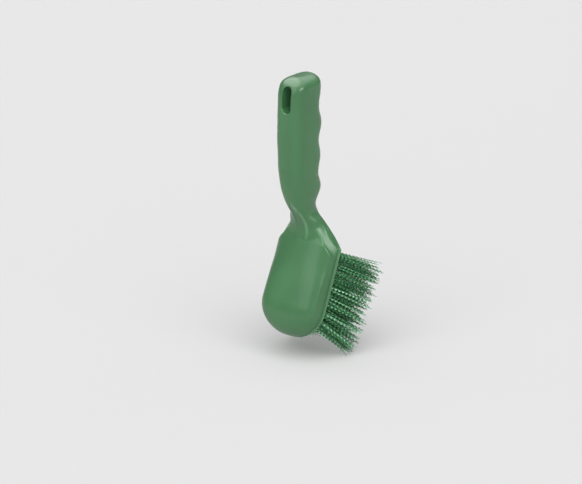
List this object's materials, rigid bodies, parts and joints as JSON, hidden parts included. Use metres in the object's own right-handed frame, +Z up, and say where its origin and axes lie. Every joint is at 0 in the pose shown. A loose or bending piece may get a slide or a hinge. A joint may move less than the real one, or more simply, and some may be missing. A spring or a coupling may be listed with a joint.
{
  "type": "short-handled brush",
  "caption": "Short-handled scrubbing brush: a moulded block with a scalloped upright handle, hanging slot and necked-in paddle head, set with rows of stapled bristle tufts.",
  "frame": {"origin": "centre of the hanging slot's mouth in the back of the handle", "axes": "+Z up along the handle from the head to the hanging end, +Y the side that the bristles point to, +X across the head"},
  "size_m": [0.0851, 0.0937, 0.2834],
  "materials": {
    "green_plastic": "satin moulded polypropylene",
    "green_bristle": "crimped polyester filament",
    "staple_steel": "stainless wire"
  },
  "bodies": {
    "root": {"handle_block": "green_plastic", "tuft_row_01": "green_bristle", "tuft_row_02": "green_bristle", "tuft_row_03": "green_bristle", "tuft_row_04": "green_bristle", "tuft_row_05": "green_bristle", "tuft_row_06": "green_bristle", "tuft_row_07": "green_bristle", "tuft_row_08": "green_bristle", "tuft_row_09": "green_bristle", "tuft_row_10": "green_bristle", "staple_01": "staple_steel", "staple_02": "staple_steel", "staple_03": "staple_steel", "staple_04": "staple_steel", "staple_05": "staple_steel", "staple_06": "staple_steel", "staple_07": "staple_steel", "staple_08": "staple_steel", "staple_09": "staple_steel", "staple_10": "staple_steel", "staple_11": "staple_steel", "staple_12": "staple_steel", "staple_13": "staple_steel", "staple_14": "staple_steel", "staple_15": "staple_steel", "staple_16": "staple_steel", "staple_17": "staple_steel", "staple_18": "staple_steel", "staple_19": "staple_steel", "staple_20": "staple_steel", "staple_21": "staple_steel", "staple_22": "staple_steel", "staple_23": "staple_steel", "staple_24": "staple_steel", "staple_25": "staple_steel", "staple_26": "staple_steel", "staple_27": "staple_steel", "staple_28": "staple_steel", "staple_29": "staple_steel", "staple_30": "staple_steel", "staple_31": "staple_steel", "staple_32": "staple_steel", "staple_33": "staple_steel", "staple_34": "staple_steel", "staple_35": "staple_steel", "staple_36": "staple_steel", "staple_37": "staple_steel", "staple_38": "staple_steel", "staple_39": "staple_steel", "staple_40": "staple_steel", "staple_41": "staple_steel", "staple_42": "staple_steel", "staple_43": "staple_steel", "staple_44": "staple_steel", "staple_45": "staple_steel", "staple_46": "staple_steel", "staple_47": "staple_steel", "staple_48": "staple_steel", "staple_49": "staple_steel"}
  },
  "joints": []
}
